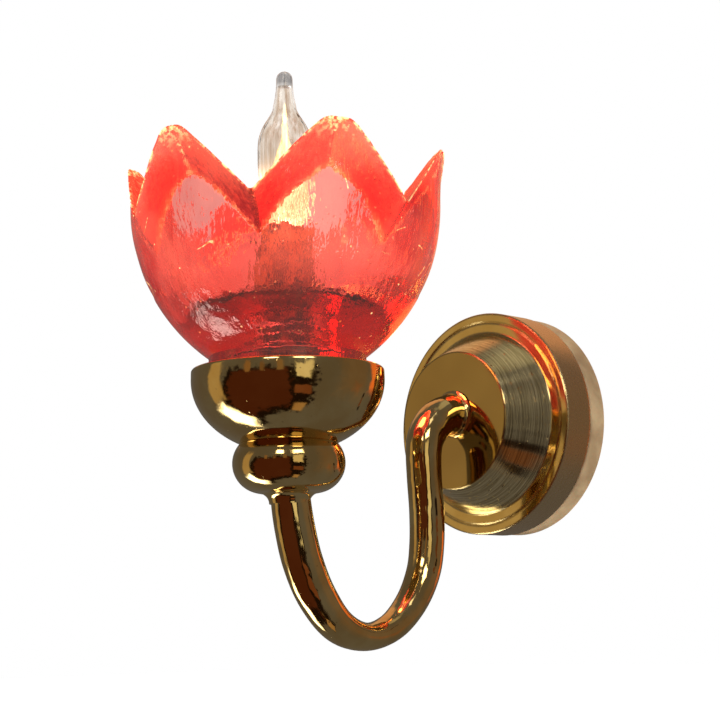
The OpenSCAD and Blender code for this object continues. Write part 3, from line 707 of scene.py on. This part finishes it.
def shade_slice(from_tip, tip_z):
    """One radial section of the shade: points (radius, height, edge, cut, shine, crack)."""
    outer_top = wall_top(OUTER_ARC, OUTER_FLARE, from_tip, tip_z)
    inner_top = wall_top(INNER_ARC, INNER_FLARE, from_tip, tip_z)
    to_notch = math.pi / PETALS - abs(from_tip)
    foot = rounded([(BORE_R, NECK_TOP, 0), (BORE_R, NECK_Z, 0.7), (NECK_R, NECK_Z, 1.2),
                    (NECK_R, NECK_TOP, 0)])
    section = [(r, z, 0, 0, 0, 0) for r, z in foot[1:-1]]
    section += [(NECK_R, NECK_Z + k * 3.5, 0, 0, 0, 0) for k in range(1, 5)]
    steps = 46
    for k in range(steps):
        z = NECK_TOP + (outer_top - NECK_TOP) * (k / steps) ** 1.25
        near = max(0.0, 1 - (outer_top - z) / 1.6)
        notch_dark = max(0.0, 1 - to_notch * NOTCH_R / 1.6) * max(0.0, 1 - (outer_top - z) / 5)
        section.append((wall_radius(z, OUTER_ARC, OUTER_FLARE), z, near * 0.6, 0, 0, notch_dark))
    outer = Vector((wall_radius(outer_top, OUTER_ARC, OUTER_FLARE), outer_top))
    inner = Vector((wall_radius(inner_top, INNER_ARC, INNER_FLARE), inner_top))
    at_tip = max(0.0, 1 - abs(from_tip) / math.radians(8))
    steps = 18
    bevel = 1.1
    for k in range(steps + 1):
        u = k / steps
        u = u * u * (3 - 2 * u)
        radius = outer[0] + (inner[0] - outer[0]) * u
        height = cut_height(radius, from_tip, tip_z)
        gap = min(u, 1 - u) * (outer - inner).length
        height -= 0.5 * max(0.0, 1 - gap / bevel) ** 2
        # The edge mark places the chips and the painted sparkles; the shine mark places the painted
        # glow of the inner edges.
        rim = max(0.0, 1 - gap / 2.4, 0.85 - abs(from_tip) * radius / 1.8)
        edge = max(rim * (0.6 + 0.4 * at_tip), at_tip ** 0.7 * max(0.0, 1 - 2.2 * u))
        shine = max(0.0, 1 - (1 - u) * (outer - inner).length / 3.8) if u > 0.5 else 0
        notch_dark = max(0.0, 1 - to_notch * radius / 1.8)
        section.append((radius, height, edge * (1 - notch_dark), 1, shine, notch_dark))
    steps = 30
    foot_z = FLOOR_Z + 5
    for k in range(1, steps + 1):
        z = inner_top + (foot_z - inner_top) * (k / steps) ** 1.2
        shine = max(0.0, 1 - (inner_top - z) / 2.2)
        section.append((wall_radius(z, INNER_ARC, INNER_FLARE), z, 0, 0, shine, 0))
    wall_foot = section[-1][0]
    floor_edge = rounded([(wall_foot, foot_z, 0), (wall_foot - 4, FLOOR_Z, 3.2),
                          (BORE_R, FLOOR_Z, 1.2), (BORE_R, NECK_Z + 3, 0)])
    section += [(r, z, 0, 0, 0, 0) for r, z in floor_edge[1:-1]]
    for k in reversed(range(GROOVES)):
        middle = GROOVE_Z + k * GROOVE_PITCH
        for a in map(math.radians, (-90, -45, 0, 45, 90)):
            section.append((BORE_R + GROOVE_R * math.cos(a), middle - GROOVE_R * math.sin(a),
                            0, 0, 0, 0))
    return section


def shade_mesh():
    """The cut glass shade, with a little unevenness from grinding and fire polishing."""
    half = 38
    columns = []
    for petal in range(PETALS):
        for side in (-1, 1):
            for k in range(half):
                u = k / half if side > 0 else 1 - k / half
                crowded = u - 0.72 * math.sin(2 * math.pi * u) / (2 * math.pi)
                from_tip = side * crowded * math.pi / PETALS
                turn = (petal + 0.5) * 2 * math.pi / PETALS + from_tip
                columns.append((from_tip, turn, TIP_HEIGHTS[petal]))
    mesh = bmesh.new()
    layers = [mesh.verts.layers.float.new(mark) for mark in MARKS]
    rings = []
    for from_tip, turn, tip_z in columns:
        ring = []
        for radius, height, *marks in shade_slice(from_tip, tip_z):
            vertex = mesh.verts.new(around_axis(radius, height, turn + SHADE_TURN))
            for layer, mark in zip(layers, marks):
                vertex[layer] = mark
            ring.append(vertex)
        rings.append(ring)
    for ring, following in zip(rings, rings[1:] + rings[:1]):
        join_rings(mesh, ring, following)
    mesh.normal_update()
    edge_layer, cut_layer = layers[:2]
    for vertex in mesh.verts:
        if vertex.co.z < (FLOOR_Z + 2) * MM:
            continue
        rough = noise.noise(vertex.co * 60) * 0.35
        rough += noise.noise(vertex.co * 260) * 0.22 * vertex[cut_layer]
        rough += noise.noise(vertex.co * 850) * 0.40 * vertex[edge_layer]
        vertex.co += vertex.normal * (rough - 0.3) * MM
    return mesh


# ---------------------------------------------------------------- the lamp
def dress_nodes():
    """Materials for the CAD parts that keep their own shape."""
    steel = plated("zinc_steel", (0.62, 0.62, 0.64))
    machined = plated("machined_brass", (0.80, 0.64, 0.32))
    nickel = plated("nickel", (0.74, 0.70, 0.60), 0.2)
    looks = {
        "back_plate": frosted_plate(), "rose": turned_rose_brass(), "felt_ring": felt(),
        "candle_sleeve": amber_sleeve(), "bulb_cap": nickel,
        "terminal_block": moulded("natural_nylon", (0.86, 0.84, 0.76)),
        "holder_body": moulded("holder_white", (0.82, 0.79, 0.70)),
        "live_wire": moulded("brown_pvc", (0.20, 0.09, 0.04), 0.4, 0.3),
        "neutral_wire": moulded("blue_pvc", (0.05, 0.14, 0.42), 0.4, 0.3),
        "earth_wire": moulded("green_pvc", (0.12, 0.38, 0.08), 0.4, 0.3),
        "bulb_insulator": moulded("black_vitrite", (0.02, 0.017, 0.02), 0.15, 0.6),
        "bulb_contact": plated("solder", (0.66, 0.66, 0.62), 0.35),
        "bulb_stem": glowing("lit_stem", (1.0, 0.62, 0.20), 9.0, 88, 100),
    }
    for name in ("strap", "plate_screws", "arm_washer", "cup_washer", "holder_stem"):
        looks[name] = steel
    for name in ("terminal_screws", "earth_screw", "grub_screw", "arm_nipple", "arm_nut",
                 "cup_nipple", "cup_nut", "screw_shell", "contact_spring"):
        looks[name] = machined
    for name, material in looks.items():
        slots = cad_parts[name].material_slots
        for slot in slots:
            slot.material = material
        if not slots:
            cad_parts[name].data.materials.append(material)


def build_pieces():
    as_piece("arm_body", swept(ARM_ROUTE), polished_brass("arm_brass", 1.5), "fixture", "arm")
    as_piece("bead_body", bead_mesh(), polished_brass("bead_brass", 0.7), "fixture", "bead")
    as_piece("cup_body", cup_mesh(), polished_brass("cup_brass", 0.6), "fixture", "cup")
    as_piece("shade_glass", shade_mesh(), ruby_glass(), "shade", "shade", 50)
    bulb = as_piece("bulb_envelope", bulb_mesh(), bulb_glass(), "bulb", "bulb_glass")
    bulb.visible_shadow = False
    glare = as_piece("filament_glow", glare_mesh(), halo(), "bulb", "filament")
    glare.visible_shadow = False


# ---------------------------------------------------------------- studio
AIM = Vector((0, -0.1335, 0))
AIM_FAR = 1.0


def toward(azimuth, elevation):
    """Direction from the lamp: azimuth 0 is out from the wall, 90 to its right (+X)."""
    a, e = math.radians(azimuth), math.radians(elevation)
    return Vector((math.sin(a) * math.cos(e), -math.cos(a) * math.cos(e), math.sin(e)))


def only_mirrored(piece):
    """Leaves an object of the studio to reflections alone."""
    for kind in ("camera", "diffuse", "transmission", "shadow"):
        setattr(piece, "visible_" + kind, False)


def card_light(name, distance, color, strength, soft):
    """Light that fades out raggedly towards the card's edges."""
    material = bpy.data.materials.new(name)
    material.use_nodes = True
    tree = material.node_tree
    tree.nodes.clear()
    coords = put(tree, "TexCoord").outputs
    same_size = {"Vector": coords["Object"], "Scale": (1 / distance,) * 3}
    rough = put(tree, "Mapping", same_size).outputs[0]
    split = put(tree, "SeparateXYZ", {"Vector": coords["UV"]}).outputs
    out = calc(tree, "MAXIMUM", *(calc(tree, "ABSOLUTE", split[k]) for k in ("X", "Y")))
    ragged = minus(tree, grain(tree, rough, 9.0, 5.0, 0.75), 0.5)
    out = plus(tree, out, times(tree, ragged, 0.8))
    solid = spread(tree, out, 0.93, 0.93 - soft)
    light = put(tree, "Emission", {"Color": (*color, 1), "Strength": strength}).outputs[0]
    clear = put(tree, "BsdfTransparent").outputs[0]
    mix = put(tree, "MixShader", {0: solid, 1: clear, 2: light})
    tree.links.new(mix.outputs[0], put(tree, "OutputMaterial").inputs["Surface"])
    return material


def card(name, center, distance, top, bottom, color, strength, soft):
    """A glowing patch of a sphere round a point, between two edges that are each (left azimuth,
    right azimuth, elevation). Only reflections show it."""
    count = 12
    mesh = bmesh.new()
    uv = mesh.loops.layers.uv.new("across")
    grid = []
    for j in range(count + 1):
        v = j / count
        left, right, elevation = (t + (b - t) * v for t, b in zip(top, bottom))
        row = []
        for i in range(count + 1):
            away = toward(left + (right - left) * i / count, elevation)
            row.append((mesh.verts.new(center + away * distance), (2 * i / count - 1, 2 * v - 1)))
        grid.append(row)
    for j in range(count):
        for i in range(count):
            corners = (grid[j][i], grid[j][i + 1], grid[j + 1][i + 1], grid[j + 1][i])
            face = mesh.faces.new([c[0] for c in corners])
            for loop, corner in zip(face.loops, corners):
                loop[uv].uv = corner[1]
    only_mirrored(add_object(name, mesh, card_light(name, distance, color, strength, soft)))


# Name, top edge, bottom edge, color, strength, softness of the edge. Later cards lie behind.
CARDS = [
    ("low_window", (-72, -48, -25), (-90, -42, -70), (1.0, 0.97, 0.86), 7.0, 0.6),
    ("lamp_left", (19, 38, 35), (19, 38, 18), (1.0, 0.92, 0.75), 8.0, 0.4),
    ("lamp_right", (52, 80, 36), (52, 80, 19), (1.0, 0.90, 0.70), 7.0, 0.4),
    ("ceiling", (62, 92, 62), (62, 92, 46), (1.0, 0.94, 0.80), 1.6, 0.5),
    ("doorway", (54, 78, 17), (54, 77, -14), (1.0, 0.88, 0.56), 0.75, 0.15),
    ("strip_a", (-3, 5, 17), (-3, 5, 0), (0.55, 0.30, 0.12), 0.5, 0.3),
    ("strip_b", (16, 22, 15), (16, 22, 1), (0.45, 0.24, 0.10), 0.4, 0.3),
    ("strip_c", (34, 44, 18), (34, 44, 0), (0.60, 0.36, 0.16), 0.4, 0.3),
    ("shelf_brown", (54, 80, -25), (54, 82, -42), (0.22, 0.075, 0.03), 0.8, 0.2),
    ("shelf_tan", (54, 84, -58), (54, 88, -74), (0.55, 0.33, 0.14), 0.7, 0.3),
    ("warm_wall", (-48, -27, 28), (-72, -40, -36), (1.0, 0.72, 0.34), 0.45, 0.35),
    ("brown", (-20, 53, 10), (-66, 60, -68), (0.125, 0.034, 0.014), 0.6, 0.12),
    ("black_edge", (-28, 85, 13), (-88, 94, -78), (0.012, 0.006, 0.003), 1.0, 0.06),
    ("orange", (159, 185, 30), (159, 185, -18), (1.0, 0.24, 0.05), 0.9, 0.5),
    ("orange_blur", (130, 150, -4), (130, 150, -28), (1.0, 0.50, 0.26), 0.22, 0.9),
    ("side_wall", (100, 172, 60), (100, 172, -50), (0.70, 0.50, 0.34), 0.24, 0.7),
    ("top", (70, 130, 88), (70, 130, 64), (1.0, 0.92, 0.78), 0.25, 0.5),
    ("pink_wall", (-205, -85, 72), (-205, -85, 14), (0.90, 0.47, 0.25), 0.75, 0.4)]

# The same close to the rose's turned cone, for what the cone mirrors low down.
CONE_AIM = Vector((0.033, -0.039, -0.022))
CONE_FAR = 0.05
CONE_CARDS = [
    ("cone_edge_a", (60, 98, -15), (60, 98, -31), (0.012, 0.006, 0.003), 1.0, 0.1),
    ("cone_brown", (60, 98, -29), (60, 98, -60), (0.22, 0.08, 0.03), 0.6, 0.2),
    ("cone_edge_b", (60, 98, -58), (60, 98, -76), (0.012, 0.006, 0.003), 1.0, 0.1)]

# The same round the rose, for what the upper half of the cone mirrors.
ROSE_AIM = Vector((0.040, -0.039, 0))
ROSE_FAR = 0.3
ROSE_CARDS = [
    ("cone_top", (-150, -108, 62), (-156, -112, 4), (1.0, 0.60, 0.33), 0.70, 0.5),
    ("cone_upper", (60, 250, 89), (60, 250, 64), (0.95, 0.85, 0.62), 0.42, 0.4)]


def hot_spot():
    """The lit bulb as the arm's root mirrors it: a small hot ball, seen only in reflections."""
    mesh = bmesh.new()
    bmesh.ops.create_icosphere(mesh, subdivisions=3, radius=0.014)
    material = finish("hot_light", (0, 0, 0), Emission_Color=(1.0, 0.50, 0.15, 1),
                      Emission_Strength=8.0)[0]
    ball = add_object("hot_spot", mesh, material)
    ball.location = (0.004, 0.053 - REACH * MM, 0.046)
    only_mirrored(ball)


def studio():
    """White surroundings, dim in the lamp's own reflections, with the cards and one soft lamp."""
    scene = bpy.context.scene
    world = bpy.data.worlds.new("studio")
    scene.world = world
    world.use_nodes = True
    tree = world.node_tree
    tree.nodes.clear()
    white = put(tree, "Background", {"Color": (1, 1, 1, 1), "Strength": 1.0}).outputs[0]
    dim = put(tree, "Background", {"Color": (0.120, 0.108, 0.097, 1), "Strength": 1.0}).outputs[0]
    path = put(tree, "LightPath").outputs
    outside = calc(tree, "LESS_THAN", path["Transmission Depth"], 0.5)
    mirror = times(tree, path["Is Glossy Ray"], outside)
    mix = put(tree, "MixShader", {0: mirror, 1: white, 2: dim})
    tree.links.new(mix.outputs[0], put(tree, "OutputWorld").inputs["Surface"])

    for cards, aim, far, gap in ((CARDS, AIM, AIM_FAR, 0.01),
                                 (CONE_CARDS, CONE_AIM, CONE_FAR, 0.001),
                                 (ROSE_CARDS, ROSE_AIM, ROSE_FAR, 0.003)):
        for number, item in enumerate(cards):
            card("card_" + item[0], aim, far + gap * number, *item[1:])
    hot_spot()

    key = bpy.data.lights.new("key", "AREA")
    key.energy = 9
    key.size = 0.7
    lamp = bpy.data.objects.new("key", key)
    away, key_distance = toward(-20, 48), 1.3
    lamp.matrix_world = (Matrix.Translation(AIM + away * key_distance)
                         @ away.to_track_quat("Z", "Y").to_matrix().to_4x4())
    lamp.visible_glossy = False
    scene.collection.objects.link(lamp)


def floor():
    """A pale floor, well below the lamp."""
    mesh = bmesh.new()
    size, height = 12.0, -0.42
    mesh.faces.new([mesh.verts.new((x * size, y * size, height))
                    for x, y in ((-1, -1), (1, -1), (1, 1), (-1, 1))])
    material, tree, shader = finish(
        "pale_floor", (0.96, 0.96, 0.95), Roughness=0.9, Emission_Color=(1, 1, 1, 1),
        Emission_Strength=0.25)
    clouds = grain(tree, place(tree), 3.0)
    wire(tree, shader, Base_Color=tint(tree, clouds, (0.95, 0.95, 0.94), (0.97, 0.97, 0.96)))
    piece = add_object("floor", mesh, material)
    piece.visible_glossy = False


def camera():
    """The camera looks slightly upwards at the lamp from its right-hand front."""
    azimuth, elevation, roll = (math.radians(v) for v in (46.01, -9.18, -1.08))
    target, distance = Vector((0, -0.11287, 0.02406)), 0.80409
    back = toward(math.degrees(azimuth), math.degrees(elevation))
    right = Vector((math.cos(azimuth), math.sin(azimuth), 0))
    up = back.cross(right)
    across = right * math.cos(roll) + up * math.sin(roll)
    upward = up * math.cos(roll) - right * math.sin(roll)
    lens = bpy.data.cameras.new("camera")
    lens.lens = 85
    lens.sensor_width = 36
    lens.clip_start = 0.01
    eye = bpy.data.objects.new("camera", lens)
    eye.matrix_world = (Matrix.Translation(target + back * distance)
                        @ Matrix((across, upward, back)).transposed().to_4x4())
    bpy.context.scene.collection.objects.link(eye)
    bpy.context.scene.camera = eye


camera()
studio()
floor()
dress_nodes()
build_pieces()
bpy.context.scene.view_settings.view_transform = "Standard"
